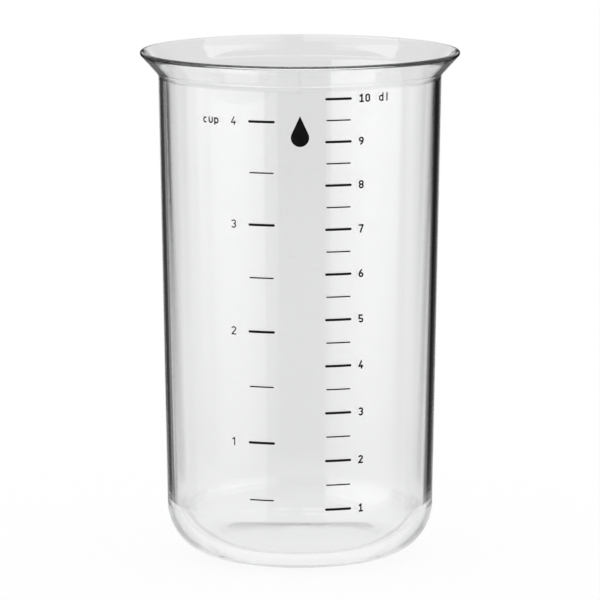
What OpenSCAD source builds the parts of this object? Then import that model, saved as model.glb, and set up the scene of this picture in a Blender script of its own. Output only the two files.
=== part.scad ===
// Measuring jug of clear heat-proof glass, without handle or spout: a slightly
// tapered wall on a rounded base, a flared rim with a rounded lip, and a
// decilitre scale and a cup scale fired on the outside in black.
// Lengths are millimetres. The jug stands on z = 0, its axis is Z, and the
// middle of the two scales faces -Y.

/* [Vessel] */
// Height from the table to the top of the lip
height = 176; // [168:0.5:200]
// Outer diameter of the wall where the flare begins
neck_d = 97.8; // [92:0.2:104]
// Outer diameter that the wall would have at the table, without its round edge
foot_d = 91.6; // [86:0.2:91.8]
// Outer radius of the round edge between wall and base
corner_r = 18.5; // [14:0.5:21]
// Inner radius of the round edge between wall and floor
bore_corner_r = 15.8; // [13:0.2:20]
// Wall thickness where the flare begins
neck_wall = 1.9; // [1.5:0.1:2.6]
// Wall thickness that the wall would have at the table
foot_wall = 3.2; // [2.6:0.1:4]
// Thickness of the floor
floor_t = 4; // [3:0.1:6]

/* [Rim] */
// Outer diameter of the lip
rim_d = 110.6; // [106:0.2:116]
// Height of the flare, from the neck to the top of the lip
flare_h = 9; // [8:0.5:12]
// Radius of the outward bend at the neck, on the outside
bend_r = 3; // [2:0.5:4]
// Slope of the flare away from the vertical, in degrees
flare_angle = 42; // [36:1:48]
// Thickness of the rounded lip
lip_t = 1.8; // [1.5:0.1:2.2]

/* [Scale lines] */
// Highest decilitre line
dl_top = 10; // [4:1:10]
// Highest cup line
cup_top = 4; // [2:1:4]
// Volume of one cup in millilitres
cup_ml = 236.6; // [225:0.1:250]
// Length of a full line
full_len = 9.3; // [7:0.1:11]
// Length of a half line
half_len = 8.5; // [6:0.1:10]
// Height of a full line
full_w = 0.85; // [0.6:0.05:1.1]
// Height of a half line
half_w = 0.46; // [0.3:0.02:0.6]
// Distance along the wall from the middle of the print to the middle of the decilitre lines
dl_line_s = 13.2; // [11:0.1:15]
// Distance along the wall from the middle of the print to the middle of the cup lines
cup_line_s = 13.2; // [11:0.1:15]

/* [Figures] */
// Height of a figure
figure_h = 2.85; // [2.2:0.05:3.4]
// Width of a figure
figure_w = 1.85; // [1.5:0.05:2.2]
// Stroke of the decilitre figures
dl_stroke = 0.56; // [0.4:0.02:0.66]
// Stroke of the cup figures
cup_stroke = 0.4; // [0.3:0.02:0.56]
// Stroke of the unit signs
sign_stroke = 0.48; // [0.36:0.02:0.6]
// Space between a decilitre line and its figure
dl_figure_gap = 2.6; // [1.5:0.1:4]
// Space between a cup line and its figure
cup_figure_gap = 4.6; // [3:0.1:6]
// Space between two figures of one number, or two letters of a unit sign
letter_gap = 0.55; // [0.4:0.05:0.8]
// Space between a decilitre figure and the unit sign beside it
dl_sign_gap = 3.5; // [2:0.1:5]
// Space between the unit sign of the cups and the figure beside it
cup_sign_gap = 4.4; // [3:0.1:6]

/* [Drop] */
// Width of the drop symbol
drop_w = 6.2; // [4:0.1:8]
// Height of the drop symbol
drop_h = 10.5; // [8:0.1:13]
// Distance from the neck down to the point of the drop symbol
drop_below_neck = 8.3; // [6:0.1:14]

/* [Hidden] */

// Edge of the cube that holds one millilitre
ml_edge = 10;
// Thickness of the fired-on print, and its clearance from the glass
ink_t = 0.06;
ink_clear = 0.01;
// Free wall kept between the print and the bend of the flare
neck_margin = 0.8;
// How far the cutting prisms of the print reach past the wall
reach = 2;
// Steps of the round stretches in the outline, and facets of a full turn
corner_steps = 24;
bend_steps = 12;
drop_steps = 48;
round_fn = 180;
// Slices by which the inside is measured
slices = 240;

// Share of a figure's height at which its parts lie
waist_share = 0.52;
four_bar_share = 0.27;
flag_share = 0.78;
x_height_share = 0.7;
// Share of a figure's width at which upright strokes lie
one_stem_share = 0.62;
four_stem_share = 0.74;
// Facets of half an oval stroke
oval_steps = 12;

neck_z = height - flare_h;
// Radii of the wall at height z, and its thickness there
function wall_t(z) = foot_wall + (neck_wall - foot_wall) * z / neck_z;
function outer_r(z) = (foot_d + (neck_d - foot_d) * z / neck_z) / 2;
function inner_r(z) = outer_r(z) - wall_t(z);
outer_slope = (outer_r(neck_z) - outer_r(0)) / neck_z;
inner_slope = (inner_r(neck_z) - inner_r(0)) / neck_z;
outer_tilt = atan(outer_slope);
inner_tilt = atan(inner_slope);

// Centres of the round edges: each arc touches the flat below it and the wall
corner_x = outer_r(corner_r) - corner_r / cos(outer_tilt);
bore_corner_z = floor_t + bore_corner_r;
bore_corner_x = inner_r(bore_corner_z) - bore_corner_r / cos(inner_tilt);

// Radius of the inside at height z, and the volume below each slice
function bore_r(z) = z < bore_corner_z
    ? bore_corner_x + sqrt(max(0, pow(bore_corner_r, 2) - pow(bore_corner_z - z, 2)))
    : inner_r(z);
slice_h = (neck_z - floor_t) / slices;
slice_z = [for (i = [0:slices]) floor_t + i * slice_h];
slice_v = [for (i = [1:slices]) PI * pow(bore_r(slice_z[i] - slice_h / 2), 2) * slice_h];
filled_v = [for (i = 0, v = 0; i <= slices; v = v + (i < slices ? slice_v[i] : 0), i = i + 1) v];
fill_table = [for (i = [0:slices]) [filled_v[i] / pow(ml_edge, 3), slice_z[i]]];
full_ml = fill_table[slices][0];

// Height of the liquid that fills so many millilitres
function fill_z(ml) = lookup(ml, fill_table);
// Height below which a line still has its figure clear of the neck
print_top = neck_z - neck_margin - figure_h / 2;
function fits(ml) = ml < full_ml && fill_z(ml) < print_top;

// Millilitres in a decilitre
dl_ml = 100;
dl_full = [for (n = [1:dl_top]) if (fits(n * dl_ml)) n];
dl_half = [for (n = [1:dl_top - 1]) if (fits((n + 0.5) * dl_ml)) n + 0.5];
cup_full = [for (n = [1:cup_top]) if (fits(n * cup_ml)) n];
cup_half = [for (n = [0:cup_top - 1]) if (fits((n + 0.5) * cup_ml)) n + 0.5];
dl_last = dl_full[len(dl_full) - 1];
cup_last = cup_full[len(cup_full) - 1];

// The two unit signs, letter by letter
dl_word = ["d", "l"];
cup_word = ["c", "u", "p"];

// Figures stand beside the lines: the decilitre figures start at one place,
// the cup figures end at one place
figure_step = figure_w + letter_gap;
dl_figure_s = dl_line_s + full_len / 2 + dl_figure_gap + figure_w / 2;
cup_figure_s = -(cup_line_s + full_len / 2 + cup_figure_gap + figure_w / 2);
dl_sign_s = dl_figure_s + figure_step + dl_sign_gap + figure_w;
cup_sign_s = cup_figure_s - cup_sign_gap - len(cup_word) * figure_step;

// Points of an arc from angle a to angle b
function arc(x, y, r, a, b, steps) =
    [for (i = [0:steps]) let (t = a + (b - a) * i / steps) [x + r * cos(t), y + r * sin(t)]];

// Bends of the flare: the outer and the inner one share their centre
bend_x = outer_r(neck_z) + bend_r * cos(outer_tilt);
bend_z = neck_z - bend_r * sin(outer_tilt);
bend_inner_r = bend_r + neck_wall;
lip_r = lip_t / 2;
lip_x = rim_d / 2 - lip_r;
lip_z = height - lip_r;

module vessel_outline() {
    polygon(concat(
        [[0, 0]],
        arc(corner_x, corner_r, corner_r, -90, -outer_tilt, corner_steps),
        arc(bend_x, bend_z, bend_r, 180 - outer_tilt, 180 - flare_angle, bend_steps),
        arc(lip_x, lip_z, lip_r, -flare_angle, 180 - flare_angle, bend_steps),
        arc(bend_x, bend_z, bend_inner_r, 180 - flare_angle, 180 - inner_tilt, bend_steps),
        arc(bore_corner_x, bore_corner_z, bore_corner_r, -inner_tilt, -90, corner_steps),
        [[0, floor_t]]
    ));
}

module glass_vessel() {
    color([0.86, 0.89, 0.9, 0.35]) rotate_extrude($fn = round_fn) vessel_outline();
}

// A thin skin on the outside of the wall, from which all print is cut
module ink_skin() {
    low = outer_r(corner_r) + ink_clear;
    high = outer_r(neck_z) + ink_clear;
    rotate_extrude($fn = round_fn) polygon([
        [low, corner_r], [low + ink_t, corner_r], [high + ink_t, neck_z], [high, neck_z]
    ]);
}

// Print drawn around the point that lies s along the wall and z above the table
module at_wall(s, z) {
    rotate([0, 0, s / outer_r(z) * 180 / PI])
        translate([0, 0, z])
            rotate([90, 0, 0])
                linear_extrude(height = neck_d / 2 + reach) children();
}

module print() {
    color([0.05, 0.05, 0.05]) intersection() {
        ink_skin();
        union() children();
    }
}

// One line of a scale, with round ends
module line(len, w) {
    square([len - w, w], center = true);
    for (side = [-1, 1]) translate([side * (len - w) / 2, 0]) circle(d = w, $fn = 24);
}

// A straight stroke from p to q
module bar(p, q, t) {
    run = q - p;
    side = [-run.y, run.x] * t / norm(run) / 2;
    polygon([p - side, q - side, q + side, p + side]);
}

// A stroke along an oval with half sizes a and b, from angle u to angle v
module oval(centre, a, b, u, v, t) {
    steps = ceil(oval_steps * abs(v - u) / 180);
    outer = [for (i = [0:steps]) let (w = u + (v - u) * i / steps)
        centre + [(a + t / 2) * cos(w), (b + t / 2) * sin(w)]];
    inner = [for (i = [steps:-1:0]) let (w = u + (v - u) * i / steps)
        centre + [(a - t / 2) * cos(w), (b - t / 2) * sin(w)]];
    polygon(concat(outer, inner));
}

// A closed oval
module ring(centre, a, b, t) {
    oval(centre, a, b, 0, 180, t);
    oval(centre, a, b, 180, 360, t);
}

// The strokes of one figure, around its own middle. w and h are the size of
// the middle line of the strokes, and t is their thickness.
module strokes(n, w, h, t, foot) {
    x = w / 2;
    y = h / 2;
    waist = h * waist_share;
    low_b = waist / 2;
    high_b = (h - waist) / 2;
    if (n == 0) {
        oval([0, y - x], x, x, 0, 180, t);
        oval([0, x - y], x, x, 180, 360, t);
        for (side = [-x, x]) bar([side, x - y], [side, y - x], t);
    }
    if (n == 1) {
        stem = w * one_stem_share - x;
        bar([stem, -y - t / 2], [stem, y + t / 2], t);
        bar([-x, h * flag_share - y], [stem, y], t);
        if (foot) bar([-x, -y], [x + t / 2, -y], t);
    }
    if (n == 2) {
        turn = -30;
        oval([0, y - high_b], x, high_b, turn, 170, t);
        bar([x * cos(turn), y - high_b + high_b * sin(turn)], [-x, -y], t);
        bar([-x - t / 2, -y], [x + t / 2, -y], t);
    }
    if (n == 3) {
        oval([0, y - high_b], x, high_b, -90, 160, t);
        oval([0, low_b - y], x, low_b, -160, 90, t);
    }
    if (n == 4) {
        stem = w * four_stem_share - x;
        bar_y = h * four_bar_share - y;
        bar([stem, y + t / 2], [-x, bar_y], t);
        bar([-x - t / 2, bar_y], [x + t / 2, bar_y], t);
        bar([stem, -y - t / 2], [stem, 0], t);
    }
    if (n == 5) {
        bar([-x, y], [x, y], t);
        bar([-x, y + t / 2], [-x, waist - y - t / 2], t);
        bar([-x, waist - y], [0, waist - y], t);
        oval([0, low_b - y], x, low_b, -160, 90, t);
    }
    if (n == 6) {
        ring([0, low_b - y], x, low_b, t);
        oval([x, low_b - y], w, h - low_b, 100, 180, t);
    }
    if (n == 7) {
        bar([-x - t / 2, y], [x + t / 2, y], t);
        bar([x, y], [-x / 2, -y - t / 2], t);
    }
    if (n == 8) {
        ring([0, y - high_b], x, high_b, t);
        ring([0, low_b - y], x, low_b, t);
    }
    if (n == 9) rotate(180) strokes(6, w, h, t, foot);
}

// The strokes of one letter of the unit signs, standing like the figures
module letter(name, w, h, t) {
    x = w / 2;
    base = -h / 2;
    bowl = h * x_height_share / 2;
    middle = base + bowl;
    if (name == "d" || name == "p") ring([0, middle], x, bowl, t);
    if (name == "d") bar([x, base - t / 2], [x, -base + t / 2], t);
    if (name == "p") bar([-x, middle + bowl + t / 2], [-x, middle - h + bowl], t);
    if (name == "l") bar([0, base - t / 2], [0, -base + t / 2], t);
    if (name == "c") oval([0, middle], x, bowl, 50, 310, t);
    if (name == "u") {
        oval([0, base + x], x, x, 180, 360, t);
        for (side = [-x, x]) bar([side, base + x], [side, middle + bowl + t / 2], t);
    }
}

module figure(n, t, foot) {
    strokes(n, figure_w - t, figure_h - t, t, foot);
}

module decilitre_lines() {
    print() for (n = dl_full) at_wall(dl_line_s, fill_z(n * dl_ml)) line(full_len, full_w);
}

module half_decilitre_lines() {
    print() for (n = dl_half) at_wall(dl_line_s, fill_z(n * dl_ml)) line(half_len, half_w);
}

module decilitre_figures() {
    print() for (n = dl_full) {
        at_wall(dl_figure_s, fill_z(n * dl_ml)) figure(n < 10 ? n : 1, dl_stroke, true);
        if (n > 9) at_wall(dl_figure_s + figure_step, fill_z(n * dl_ml)) figure(0, dl_stroke, true);
    }
}

// The letters of a unit sign, the first of them at s along the wall
module sign(word, s, z) {
    print() for (i = [0:len(word) - 1])
        at_wall(s + i * figure_step, z)
            letter(word[i], figure_w - sign_stroke, figure_h - sign_stroke, sign_stroke);
}

module decilitre_sign() {
    sign(dl_word, dl_sign_s, fill_z(dl_last * dl_ml));
}

module cup_lines() {
    print() for (n = cup_full) at_wall(-cup_line_s, fill_z(n * cup_ml)) line(full_len, full_w);
}

module half_cup_lines() {
    print() for (n = cup_half) at_wall(-cup_line_s, fill_z(n * cup_ml)) line(half_len, half_w);
}

module cup_figures() {
    print() for (n = cup_full) at_wall(cup_figure_s, fill_z(n * cup_ml)) figure(n, cup_stroke, false);
}

module cup_sign() {
    sign(cup_word, cup_sign_s, fill_z(cup_last * cup_ml));
}

// A round drop whose two straight sides touch the circle and meet in a point
module drop_symbol() {
    r = drop_w / 2;
    tip = drop_h - r;
    touch = asin(r / tip);
    print() at_wall(0, neck_z - drop_below_neck - tip)
        polygon(concat([[0, tip]], arc(0, 0, r, 180 - touch, 360 + touch, drop_steps)));
}

glass_vessel();
decilitre_lines();
half_decilitre_lines();
decilitre_figures();
decilitre_sign();
cup_lines();
half_cup_lines();
cup_figures();
cup_sign();
drop_symbol();
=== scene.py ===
# %% [markdown]
# # A measuring jug of clear glass
#
# The jug is one thin-walled piece of heat-proof glass: a tall, slightly tapered
# wall on a rounded base, with a flared rim and a rounded lip. Two scales are
# fired on its outside in black enamel. Clear glass has almost no colour of its
# own, so most of what the eye reads as glass is the studio around it, bent and
# mirrored. The lesson therefore has three parts: the vessel, the enamel, and the
# set of lamps and dark curtains that gives the glass its outline.
#
# The solid frame of the part comes first. Its box fixes the height and the rim of the glass below.

# %% Load the frame
import math
import bmesh
import bpy
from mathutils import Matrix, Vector


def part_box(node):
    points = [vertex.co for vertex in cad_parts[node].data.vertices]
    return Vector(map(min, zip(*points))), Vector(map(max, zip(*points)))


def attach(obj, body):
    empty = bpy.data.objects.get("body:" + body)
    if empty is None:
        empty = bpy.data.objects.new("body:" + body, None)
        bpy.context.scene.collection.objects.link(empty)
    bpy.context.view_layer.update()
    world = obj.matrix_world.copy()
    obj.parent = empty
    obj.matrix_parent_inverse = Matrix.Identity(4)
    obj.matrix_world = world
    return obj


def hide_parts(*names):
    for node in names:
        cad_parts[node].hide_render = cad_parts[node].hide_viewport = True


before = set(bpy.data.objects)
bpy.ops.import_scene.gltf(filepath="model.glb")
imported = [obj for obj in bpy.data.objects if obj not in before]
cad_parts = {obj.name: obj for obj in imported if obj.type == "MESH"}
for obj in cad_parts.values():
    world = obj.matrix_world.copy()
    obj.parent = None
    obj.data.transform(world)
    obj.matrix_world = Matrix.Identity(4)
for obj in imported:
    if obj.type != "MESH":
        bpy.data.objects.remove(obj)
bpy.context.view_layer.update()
glass_low, glass_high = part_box("glass_vessel")
print("nodes:", sorted(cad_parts))
print("vessel, mm:", [round(1000 * (b - a), 2) for a, b in zip(glass_low, glass_high)])

# %% [markdown]
# ## The outline of the vessel
#
# The outline is half of the glass, cut through the axis: underside, heel, wall,
# flare, lip, and back down the inside to the floor. Its points could be worked
# out one by one, but a maker thinks of it otherwise: straight runs that meet in
# corners, and a radius for each corner. So the outline starts as eight corners,
# and the bevel operator rounds them. Rounding by a radius r takes the length
# r * tan(turn / 2) off each of the two runs, where turn is how far the outline
# turns in that corner.

# %% Sizes of the glass, in metres
clearance = 0.00002  # keeps the finer model inside the box of the frame
lip_radius = 0.0009
flare_height = 0.009
height = glass_high.z - clearance
rim_radius = glass_high.x - clearance - lip_radius
neck_height = height - flare_height
wall_at_neck, wall_at_foot = 0.0019, 0.0032
neck_radius, foot_radius = 0.0489, 0.0458
floor_thickness = 0.004
heel_radius, bore_heel_radius = 0.0185, 0.0158
bend_radius = 0.003
flare_tilt = math.radians(42)
print("wall, mm:", 1000 * wall_at_neck, "at the neck,", 1000 * wall_at_foot, "at the foot")

# %% Where the straight runs meet
def wall_point(foot, neck, up):
    """A point on the straight wall that runs from foot to neck, at height up."""
    return Vector((foot + (neck - foot) * up / neck_height, 0, up))


def meet(p, along_p, q, along_q):
    """Where the line through p and the line through q cross, in the plane of the outline."""
    turn = along_p.x * along_q.z - along_p.z * along_q.x
    gap = q - p
    return p + along_p * ((gap.x * along_q.z - gap.z * along_q.x) / turn)


bore_foot, bore_neck = foot_radius - wall_at_foot, neck_radius - wall_at_neck
up_outside = Vector((neck_radius - foot_radius, 0, neck_height)).normalized()
up_inside = Vector((bore_neck - bore_foot, 0, neck_height)).normalized()
up_flare = Vector((math.sin(flare_tilt), 0, math.cos(flare_tilt)))
across_flare = Vector((-up_flare.z, 0, up_flare.x))
lip_middle = Vector((rim_radius, 0, height - lip_radius))

heel = wall_point(foot_radius, neck_radius, 0)
bore_heel = wall_point(bore_foot, bore_neck, floor_thickness)
lip_outside = lip_middle - across_flare * lip_radius
lip_inside = lip_middle + across_flare * lip_radius
neck_outside = meet(heel, up_outside, lip_outside, up_flare)
neck_inside = meet(bore_heel, up_inside, lip_inside, up_flare)
print("neck corners, mm:", [round(1000 * c, 2) for c in (*neck_outside.xz, *neck_inside.xz)])

# %% [markdown]
# ## Rounding the corners
#
# Each corner is bevelled as a vertex of the bare outline. The lip gets two
# corners of a quarter turn each, which together make it a full half round, as a
# fire-polished lip is. The long straight runs are then subdivided. Without that
# a smooth-shaded wall would take its first and last normals from the heel and
# the flare, and bend its reflections over its whole height.
#
# The two heels get by far the most steps. Light runs through their thick glass
# from reflection to reflection, and each facet would show as a tooth in the
# bright line at the foot of the wall.

# %% Draw the outline and round it
def turn_at(before, here, after):
    """How far the outline turns in a corner."""
    return (here - before).angle(after - here)


def vessel_outline(bm):
    """Draws the outline, from the middle of the underside to the middle of the floor."""
    corners = [  # place, radius, steps round the corner; radius 0 stays a plain end
        (Vector((0, 0, 0)), 0, 1),
        (heel, heel_radius, 84),
        (neck_outside, bend_radius, 12),
        (lip_outside + up_flare * lip_radius, lip_radius, 8),
        (lip_inside + up_flare * lip_radius, lip_radius, 8),
        (neck_inside, bend_radius + wall_at_neck, 14),
        (bore_heel, bore_heel_radius, 72),
        (Vector((0, 0, floor_thickness)), 0, 1),
    ]
    chain = [bm.verts.new(place) for place, radius, steps in corners]
    for a, b in zip(chain, chain[1:]):
        bm.edges.new((a, b))
    for i, (place, radius, steps) in enumerate(corners):
        if radius:
            turn = turn_at(corners[i - 1][0], place, corners[i + 1][0])
            cut = radius * math.tan(turn / 2)
            bmesh.ops.bevel(bm, geom=[chain[i]], offset=cut, offset_type="OFFSET", segments=steps,
                            profile=0.5, affect="VERTICES", material=-1, clamp_overlap=False)
    for longer_than, cuts in ((0.1, 11), (0.02, 5), (0.004, 2)):
        long = [e for e in bm.edges if e.calc_length() > longer_than]
        bmesh.ops.subdivide_edges(bm, edges=long, cuts=cuts)
    return bm.edges[:]


# %% [markdown]
# ## Turning the outline into glass
#
# A vessel that was blown into a turned mould is a body of revolution, so the
# outline is spun about the axis. 300 steps keep the silhouette and, more
# important for glass, the reflections free of facets. The points on the axis
# come out once per step, so doubles are merged before the faces are turned
# outwards. The wall is closed: outside and inside join at the lip, and a ray of
# light always finds its way into the glass and out of it again.

# %% Spin the vessel
def finish_piece(bm, name):
    """Makes an object of a bmesh, smooth and with its faces outwards."""
    bmesh.ops.remove_doubles(bm, verts=bm.verts, dist=1e-7)
    bmesh.ops.recalc_face_normals(bm, faces=bm.faces)
    for face in bm.faces:
        face.smooth = True
    mesh = bpy.data.meshes.new(name)
    bm.to_mesh(mesh)
    bm.free()
    made = bpy.data.objects.new(name, mesh)
    bpy.context.scene.collection.objects.link(made)
    print(name, "has", len(mesh.polygons), "faces")
    return made


steps_round = 300
bm = bmesh.new()
bmesh.ops.spin(bm, geom=vessel_outline(bm), cent=(0, 0, 0), axis=(0, 0, 1), angle=2 * math.pi,
               steps=steps_round, use_merge=True)
vessel = finish_piece(bm, "vessel")
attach(vessel, "root")
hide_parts("glass_vessel")
print("vessel is", round(1000 * max(v.co.z for v in vessel.data.vertices), 3), "mm high")

# %% [markdown]
# ## Writing materials as sums
#
# Materials are trees of nodes. Wiring them by hand in Python is long, so two
# small helpers do it. Shade owns the tree of one material or of the world, and
# its one method add makes any node: its kind, its settings, and what goes into
# its sockets. Wire is one output of a node. It knows the signs of sums, so that
# 1 - mask * 0.5 adds the Math nodes that it needs, and three forms that the set
# below uses often: the greater of two values, a value without its sign, and one
# that rises or falls evenly while the wire goes from one value to another.

# %% Helpers for node trees
class Wire:
    """One output of a node."""
    def __init__(self, shade, socket):
        self.shade, self.socket = shade, socket

    def other(self, name):
        """Another output of the same node."""
        return Wire(self.shade, self.socket.node.outputs[name])

    def sum(self, operation, *values):
        """A Math node; its result is a wire again."""
        return self.shade.add("ShaderNodeMath", {"operation": operation}, dict(enumerate(values)))

    def greater(self, value):
        """The greater of this wire and value."""
        return self.sum("MAXIMUM", self, value)

    def unsigned(self):
        """The wire's value without its sign."""
        return self.sum("ABSOLUTE", self)

    def between(self, start, end, at_start=0, at_end=1):
        """Goes evenly from at_start to at_end while the wire goes from start to end."""
        return self.shade.add("ShaderNodeMapRange", {}, {
            "Value": self, "From Min": start, "From Max": end, "To Min": at_start, "To Max": at_end})

    def __add__(self, value): return self.sum("ADD", self, value)
    def __radd__(self, value): return self.sum("ADD", value, self)
    def __sub__(self, value): return self.sum("SUBTRACT", self, value)
    def __rsub__(self, value): return self.sum("SUBTRACT", value, self)
    def __mul__(self, value): return self.sum("MULTIPLY", self, value)
    def __rmul__(self, value): return self.sum("MULTIPLY", value, self)
    def __gt__(self, value): return self.sum("GREATER_THAN", self, value)
    def __lt__(self, value): return self.sum("LESS_THAN", self, value)


class Shade:
    """The node tree of one material or of the world."""
    def __init__(self, owner):
        owner.use_nodes = True
        self.tree = owner.node_tree
        self.tree.nodes.clear()

    def add(self, kind, settings=None, inputs=None, output=0):
        """Makes a node and gives its output as a wire; an input is a wire or a plain value."""
        node = self.tree.nodes.new(kind)
        for name, value in (settings or {}).items():
            if name == "stops":
                ramp = node.color_ramp
                while len(ramp.elements) < len(value):
                    ramp.elements.new(0.5)
                for stop, (place, colour) in zip(ramp.elements, value):
                    stop.position, stop.color = place, colour
            else:
                setattr(node, name, value)
        for name, value in (inputs or {}).items():
            if isinstance(value, Wire):
                self.tree.links.new(value.socket, node.inputs[name])
            else:
                node.inputs[name].default_value = value
        return Wire(self, node.outputs[output] if len(node.outputs) else None)

    def surface(self, wire, inside=None, output="ShaderNodeOutputMaterial"):
        """Ends the tree: wire is the surface, and inside is what fills the body, if anything."""
        self.add(output, {}, {"Surface": wire, **({"Volume": inside} if inside else {})})


# %% [markdown]
# ## Clear glass
#
# Heat-proof glass bends light a little less than window glass: its index is
# 1.47. Each surface that the light crosses takes a trace of it away, so that the
# middle of the jug is a shade darker than the bare paper beside it. The glass
# itself is clear, but not perfectly: light that is guided along inside the wall,
# as it is in the lip and in the rounded base, loses some of its strength on the
# way. A weak absorption in the volume greys these long paths and leaves the
# short way straight through the wall alone.
#
# Blown glass is never perfectly even either: the wall has faint upright waves
# from the drawing of the gather, which make long reflections waver. A bump node
# with noise stretched along the axis gives these waves. It stays weak, because a
# strong one would look like pressed or hammered glass.

# %% Material of the vessel
def clear_glass():
    material = bpy.data.materials.new("clear_glass")
    shade = Shade(material)
    place = shade.add("ShaderNodeTexCoord").other("Object")
    drawn = shade.add("ShaderNodeMapping", {}, {"Vector": place, "Scale": (55, 55, 6)})
    waves = shade.add("ShaderNodeTexNoise", {}, {"Vector": drawn, "Scale": 1.0, "Detail": 1.0})
    bump = shade.add("ShaderNodeBump", {}, {"Height": waves, "Strength": 0.06, "Distance": 0.001})
    glass = shade.add("ShaderNodeBsdfPrincipled", {}, {
        "Base Color": (0.982, 0.984, 0.984, 1), "Roughness": 0.0, "IOR": 1.47,
        "Transmission Weight": 1.0, "Normal": bump})
    tint = shade.add("ShaderNodeVolumeAbsorption", {}, {"Color": (0.0, 0.03, 0.02, 1), "Density": 4.4})
    shade.surface(glass, tint)
    return material


vessel.data.materials.append(clear_glass())

# %% [markdown]
# ## Fired black enamel
#
# The scales are screen printed with a black glass paste and fired, so they are a
# thin hard layer with a satin shine, not ink. The print keeps its solids from
# the frame: each line and figure already follows the wall. Enamel is not quite
# even: it is a little thinner and greyer in places, and its skin has a fine
# orange-peel grain. Noise drives both, at the scale of a tenth of a millimetre
# for the grain and of a few millimetres for the tone. The tone also drives the
# roughness, since the thinner places are fired a little duller. The shine stays
# low, so that the soft boxes do not turn the black lines grey.

# %% Material of the print
def fired_black_print():
    material = bpy.data.materials.new("fired_black_print")
    shade = Shade(material)
    place = shade.add("ShaderNodeTexCoord").other("Object")
    tone = shade.add("ShaderNodeTexNoise", {}, {"Vector": place, "Scale": 420.0, "Detail": 3.0})
    colour = shade.add("ShaderNodeValToRGB", {"stops": [
        (0.3, (0.001, 0.001, 0.001, 1)), (0.75, (0.005, 0.005, 0.006, 1))]}, {"Fac": tone})
    grain = shade.add("ShaderNodeTexNoise", {}, {"Vector": place, "Scale": 9000.0, "Detail": 2.0})
    bump = shade.add("ShaderNodeBump", {}, {"Height": grain, "Strength": 0.15, "Distance": 0.00002})
    enamel = shade.add("ShaderNodeBsdfPrincipled", {}, {
        "Base Color": colour, "Roughness": tone * 0.12 + 0.25, "Specular IOR Level": 0.12,
        "Normal": bump})
    shade.surface(enamel)
    return material


enamel = fired_black_print()
for name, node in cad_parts.items():
    if name != "glass_vessel":
        node.data.materials.clear()
        node.data.materials.append(enamel)
        print("enamel on", name)

# %% [markdown]
# ## Camera
#
# The jug is seen from the front and from 8.5 degrees above, through a long lens
# from 1.9 metres, so that its sides stay nearly upright.

# %% Place the camera
camera_distance, camera_height = 1.9, 0.3727
look_down = 0.1483  # radians, 8.5 degrees
camera = bpy.data.objects.new("camera", bpy.data.cameras.new("camera"))
bpy.context.scene.collection.objects.link(camera)
camera.location = (0, -camera_distance, camera_height)
camera.rotation_euler = (math.pi / 2 - look_down, 0, 0)
camera.data.sensor_width = 36
camera.data.lens = 332.1
camera.data.clip_end = 50
bpy.context.scene.camera = camera
print("lens", camera.data.lens, "mm")

# %% [markdown]
# ## The white set and its dark curtains
#
# A photographer outlines clear glass by bright-field lighting. The jug stands in
# front of plain white, and beside the picture stand dark curtains. Light that
# goes straight through the wall shows white. Light that meets the wall at a
# glancing angle is mirrored inside the glass, comes from the curtains, and
# draws the black outline.
#
# The world does all of this, and Light Path tells it which light it meets.
# Glossy Depth counts how often the light was mirrored, Transmission Depth how
# often it was bent. Light Path's answers become masks, because the floor and
# the lamps ask the same questions. Ray Length, the way since the last surface,
# tells light that comes down from the rim from light that leaves the low base.

# %% What kind of light meets a surface of the set
once, twice = 0.5, 1.5   # a count above these is at least one, at least two
way_from_rim = 0.12      # metres; light that leaves the base reaches the floor in less


class Light:
    """Masks that tell the kinds of light apart, from one Light Path node."""
    def __init__(self, shade):
        path = shade.add("ShaderNodeLightPath")
        self.camera = path.other("Is Camera Ray")
        never_matt = path.other("Diffuse Depth") < once
        self.mirrored = (path.other("Glossy Depth") > once) * never_matt
        self.mirrored_again = (path.other("Glossy Depth") > twice) * never_matt
        self.mirrored_once = self.mirrored - self.mirrored_again
        self.mirrored_high = self.mirrored_once * (path.other("Ray Length") > way_from_rim)
        self.through = (path.other("Transmission Depth") > once) * never_matt


# %% [markdown]
# ## Where the curtains hang
#
# The edge of the jug is not one black line. From outside inwards it shows the
# outer surface, the inner surface, and the outer surface once more, mirrored in
# the inner one. Every pixel further in looks a few degrees further away from
# straight behind. So the curtains are strips: a dark strip gives the outline, a
# bright gap beside it the light line inside the black, the next dark strip the
# second line. The stops below give a direction in degrees, where 0 is straight
# behind, and how bright the room is there.
#
# The upper wall looks down at the room less steeply than the lower wall does.
# That is why there are two sets of strips, one that the upper wall mirrors and
# one that the lower wall mirrors. Light that is only bent, not mirrored, has its
# own plainer pair of curtains.

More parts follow.
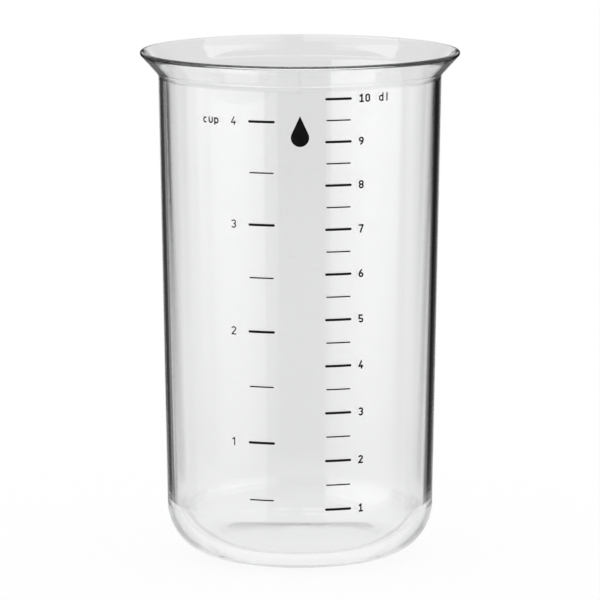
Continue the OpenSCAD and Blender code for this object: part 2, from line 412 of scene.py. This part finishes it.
# %% The strips of the curtains
curtain_strips = {
    "high": [(-180, 0.7), (-60, 0.95), (-50, 0.95), (-46, 0.3), (-43, 0.02), (-36, 0.02), (-35, 0.5),
             (-33.5, 1), (-32, 0.5), (-30, 0.15), (-28, 0.03), (-24.5, 0.12), (-22, 0.02), (-18, 0.02),
             (-15.5, 0.12), (-12.5, 0.65), (-7, 0.85), (7, 0.85), (11, 0.7), (13, 0.45), (15, 0.12),
             (18.5, 0.08), (21, 0.02), (29, 0.01), (34, 0.03), (36.5, 0.13), (39.5, 0.15), (43, 0.6),
             (46, 0.85), (180, 0.7)],
    "low": [(-180, 0.7), (-60, 0.95), (-44, 0.95), (-42, 0.6), (-39.5, 0.3), (-36.5, 0.6), (-33.5, 0.82),
            (-31, 0.15), (-27.5, 0.06), (-24.5, 0.02), (-21, 0.06), (-17, 0.03), (-15, 0.05),
            (-12.5, 0.5), (-9, 0.6), (-7, 0.8), (7, 0.85), (9, 0.8), (12.5, 0.25), (15.5, 0.06),
            (18.5, 0.08), (21, 0.01), (34, 0.01), (36.5, 0.4), (39.5, 0.9), (43, 0.95), (180, 0.7)],
    "bent": [(-45, 0), (-38, 1), (-13.5, 1), (-10, 0), (10, 0), (13.5, 1), (38, 1), (45, 0)],
}
print("strips:", {name: len(stops) for name, stops in curtain_strips.items()})


# %% Brightness round the jug
def grey(value):
    return (value, value, value, 1)


def grey_ramp(wire, stops):
    """A colour ramp over the wire; each stop is a place from 0 to 1 and a brightness."""
    return wire.shade.add("ShaderNodeValToRGB", {
        "stops": [(place, grey(value)) for place, value in stops]}, {"Fac": wire})


def round_the_jug(strips, angle):
    """A ramp over the directions round the jug: angle in radians, 0 straight behind, positive right."""
    return grey_ramp(angle * (0.5 / math.pi) + 0.5, [
        (0.5 + degrees / 360, value) for degrees, value in curtain_strips[strips]])


def mixed(share, first, second):
    """A colour that goes from first to second while share goes from 0 to 1."""
    return share.shade.add("ShaderNodeMix", {"data_type": "RGBA"}, {
        0: share, 6: first, 7: second}, output=2)


# %% [markdown]
# ## The room around the set
#
# The room has three kinds of answer. Bare light, which was never mirrored, sees
# plain white, a little less of it through the glass, and the plain curtains.
# Mirrored light sees the strips while it looks down at the angles of the walls.
# All other mirrored light, from the flare, the lip and the rounded base, sees a
# simpler room: light below, a dark horizon that draws the tips of the rim, and
# a light ceiling that is brightest straight behind, where the rounded base
# looks. The floor, further below, carries two glowing cards beside the foot,
# patches of painted light brighter than the white floor. The left card's glow
# goes on here at half its strength, beyond the small part of the floor that
# mirrored light meets.

# %% The world
high_strips_above, low_strips_below = -0.125, -0.165   # the Z of the way that the light comes from
card_left, card_below = -0.35, -0.65                   # where the left card goes on: angle, Z
# the cards glow: painted light, added to the white that they lie on
card_glow = 0.8                                       # what a card adds to what it lies on


def studio_world():
    world = bpy.data.worlds.new("studio")
    bpy.context.scene.world = world
    shade = Shade(world)
    light = Light(shade)
    way = shade.add("ShaderNodeSeparateXYZ", {}, {
        "Vector": shade.add("ShaderNodeTexCoord").other("Generated")})
    aside = way.sum("ARCTAN2", way, way.other("Y"))
    up = way.other("Z")
    # the strips, low ones for the steeper way down; light mirrored again sees only dark
    walls = mixed(up.between(low_strips_below, high_strips_above, 1, 0),
                  round_the_jug("high", aside), round_the_jug("low", aside))
    curtains = mixed(light.mirrored_again, walls, grey(0.02))
    # the simpler room past the ends of the curtains, brighter straight behind
    slope = up * 0.5 + 0.5
    past_the_ends = grey_ramp(slope, [(0.385, 1), (0.40, 0), (0.485, 0), (0.495, 1)])
    beyond = grey_ramp(slope, [
        (0.27, 0.8), (0.30, 0.1), (0.40, 0.1), (0.49, 0.03), (0.55, 0.03), (0.57, 0.6), (0.8, 0.75)])
    straight_behind = aside.unsigned().between(0.3, 0.45, 1.5, 1)
    room = mixed(past_the_ends, curtains, beyond * straight_behind)
    # the left card's painted glow, beyond the part of the floor that mirrored light meets
    card = light.mirrored_once * (up < card_below) * (aside < card_left)
    # plain white for bare light, with the plain curtains once it is bent
    plain = 1 - light.through * (0.2 + 0.75 * round_the_jug("bent", aside))
    seen = mixed(light.mirrored, plain, room + card * (card_glow / 2))
    shine = shade.add("ShaderNodeBackground", {}, {"Color": seen, "Strength": 1})
    shade.surface(shine, output="ShaderNodeOutputWorld")


studio_world()

# %% [markdown]
# ## Floor
#
# The floor is a wide pale sheet, part of its white its own and part of it the
# lamps' light, so that it keeps the soft shadow under the jug. A glossy table
# would mirror the room and so repeat the dark curtains and the soft boxes below
# its edge. To the same end the sheet lets mirrored light through, except right
# around the foot, where the jug stands on it. There two glowing cards are
# painted on it, left and right of the jug: painted light, brighter than the
# white floor. The flare of the rim looks straight down and mirrors them as two
# brighter fields. The base, which is thick enough to gather their light to
# burnt-out patches, doesn't see them.
#
# Through the glass the floor is drawn a little darker than bare, least at the
# foot and most far behind, since a real sheet is curved up behind the jug and
# falls away from the lamps. The curtains stand on it: light that is only bent by
# the wall meets their feet to the left and right of the jug's shadow.

# %% Floor
def sheet(name, corners):
    """A flat four-sided sheet through four corners, as part of the set."""
    bm = bmesh.new()
    bm.faces.new([bm.verts.new(c) for c in corners])
    made = finish_piece(bm, name)
    return made


# where the two cards of painted glow lie on the floor
card_middle = -0.009          # both cards begin at equal distance from this X
card_edge = (0.047, 0.055)    # that distance, from where they fade in to their full white
mirrored_floor = 0.11         # mirrored light meets the floor only this near to the axis


def floor_white():
    material = bpy.data.materials.new("floor_white")
    shade = Shade(material)
    light = Light(shade)
    place = shade.add("ShaderNodeTexCoord").other("Object")
    far = shade.add("ShaderNodeVectorMath", {"operation": "LENGTH"}, {0: place}, "Value")
    x = shade.add("ShaderNodeSeparateXYZ", {}, {"Vector": place})
    y = x.other("Y")
    # seen through glass or mirrored: a little darker, least at the foot
    shaded = light.through.greater(light.mirrored) * grey_ramp(far, [
        (0.04, 0.03), (0.1, 0.11), (0.2, 0.19), (0.5, 0.215), (1, 0.27)])
    # the feet of the curtains, at the angle at which they stand beside the neck
    beside = (x.unsigned() - neck_radius).greater(0)
    outward = x.sum("ARCTAN2", beside, y.greater(0.12))
    curtain = (light.through * (1 - light.mirrored) * round_the_jug("bent", outward)
               * y.between(0.1, 0.8))
    # the two cards, a painted glow brighter than the white floor, with soft inner edges
    card = light.mirrored_high * (x - card_middle).unsigned().between(*card_edge)
    glow = shade.add("ShaderNodeEmission", {}, {
        "Color": 1 - shaded - curtain * 0.9 + card * card_glow, "Strength": 1})
    # the lamps' share of the white keeps the shadow; mirrored light meets only the glow
    matt = shade.add("ShaderNodeBsdfDiffuse", {}, {"Color": grey(0.985)})
    own_white = (light.camera * 0.92 + light.through * 0.8).greater(light.mirrored.greater(curtain))
    pale = shade.add("ShaderNodeMixShader", {}, {0: own_white, 1: matt, 2: glow})
    clear = shade.add("ShaderNodeBsdfTransparent")
    shade.surface(shade.add("ShaderNodeMixShader", {}, {
        0: light.mirrored * (far > mirrored_floor), 1: pale, 2: clear}))
    return material


half_size, gap = 6.0, 0.0002
floor = sheet("floor", [(x * half_size, y * half_size, -gap)
                        for x, y in ((-1, -1), (1, -1), (1, 1), (-1, 1))])
floor.data.materials.append(floor_white())
print("floor lies", 1000 * gap, "mm under the jug")

# %% [markdown]
# ## Soft boxes
#
# Two soft boxes stand in front of the jug, a tall one on the left and a lower
# one on the right. Each gives the front wall a broad upright band of light, and
# between the two bands a darker stripe remains. Their sides follow from the
# mirror law: on a round wall, the band's edge at angle a from the front shows
# what stands at twice that angle. A real soft box is brightest in its middle and
# fades toward its rim; a ramp across the sheet does that. Only mirrored light
# meets the lamps, so they can stand anywhere without being in the picture. Light
# that was mirrored more than once sees little of them, or they would come out of
# the thick base as burnt-out specks.

# %% Soft boxes
dimmed_again = 0.78                  # the part of a lamp that light mirrored again doesn't see
low_below, high_above = -0.08, 0.09  # the heights between which a lamp grows brighter
bow = 1.3                            # how far the front edge of an overhead lamp bows
front_edge = (-0.081, -0.076)        # the Y of that edge, over which the lamp fades in


def lamp(name, corners, strengths, low, high, bowed=False):
    """A lit sheet for mirrored light: dimmed across by a ramp, and from low to high upwards."""
    box = sheet(name, corners)
    uv = box.data.uv_layers.new(name="across")
    for loop, corner in zip(uv.data, ((0, 0), (1, 0), (1, 1), (0, 1))):
        loop.uv = corner
    material = bpy.data.materials.new(name)
    shade = Shade(material)
    light = Light(shade)
    place = shade.add("ShaderNodeTexCoord")
    across = shade.add("ShaderNodeSeparateXYZ", {}, {"Vector": place.other("UV")})
    x = shade.add("ShaderNodeSeparateXYZ", {}, {"Vector": place.other("Object")})
    power = x.other("Z").between(low_below, high_above, low, high)
    lit = shade.add("ShaderNodeEmission", {}, {
        "Color": grey_ramp(across, strengths) * power, "Strength": 1})
    clear = shade.add("ShaderNodeBsdfTransparent")
    seen = light.mirrored * (1 - light.mirrored_again * dimmed_again)
    if bowed:
        seen = seen * (x.other("Y") - x * x * bow).between(*front_edge)
    shade.surface(shade.add("ShaderNodeMixShader", {}, {0: seen, 1: clear, 2: lit}))
    box.data.materials.append(material)
    material.cycles.emission_sampling = "NONE"


def soft_box(name, inner_angle, outer_angle, top, strengths):
    """A lamp between two directions, measured on the wall from the front."""
    distance, foot = 0.5, -0.3

    def corner(angle, up):
        angle = math.radians(angle)
        wall = Vector((math.sin(angle), -math.cos(angle), 0)) * neck_radius
        away = Vector((math.sin(2 * angle), -math.cos(2 * angle), 0)) * distance
        return wall + away + Vector((0, 0, up))

    lamp(name, [corner(inner_angle, foot), corner(outer_angle, foot), corner(outer_angle, top),
                corner(inner_angle, top)], strengths, low=1.1, high=2.4)


soft_box("soft_box_left", -14.8, -53.5, 0.5, [
    (0, 0.8), (0.2, 0.9), (0.5, 1.0), (0.75, 0.9), (1, 0.7)])
soft_box("soft_box_right", 10.8, 55, 0.12, [
    (0, 0.65), (0.25, 0.85), (0.45, 1.0), (0.66, 0.9), (0.76, 0.75), (0.79, 0.5), (0.84, 0.65), (1, 0.65)])

# %% [markdown]
# ## Overhead lamps
#
# Inside the mouth stand two pale wedges. They are level lamps above the jug,
# mirrored in the far inside wall: the left wedge shows the right lamp, the right
# wedge the left one. Their lower edge slopes toward the middle, as the front
# edge of a lamp does when its cloth bows forward at the ends, so the front edge
# is a shallow parabola instead of a straight line.

# %% Overhead lamps
def overhead(name, near, far, back):
    """A level lamp above the jug, from near to far along X."""
    front, level = -0.2, 0.8
    lamp(name, [(near, front, level), (far, front, level), (far, back, level), (near, back, level)],
         [(0, 0.4), (0.12, 0.95), (0.5, 1.0), (1, 0.9)], low=1.8, high=2.2, bowed=True)


overhead("overhead_left", -0.015, -0.6, 0.30)
overhead("overhead_right", 0.06, 0.6, 0.27)

# %% [markdown]
#
# Light that is guided in the lip runs on for dozens of reflections. Cut off
# after a few, it would come out black; 96 lets it arrive, and the absorption in
# the glass decides how much of it is left. The view transform is Standard, so
# that a white of strength 1 is the white of the picture.

# %% Finish
bounces = 96
paths = bpy.context.scene.cycles
paths.max_bounces = paths.glossy_bounces = paths.transmission_bounces = bounces
bpy.context.scene.view_settings.view_transform = "Standard"
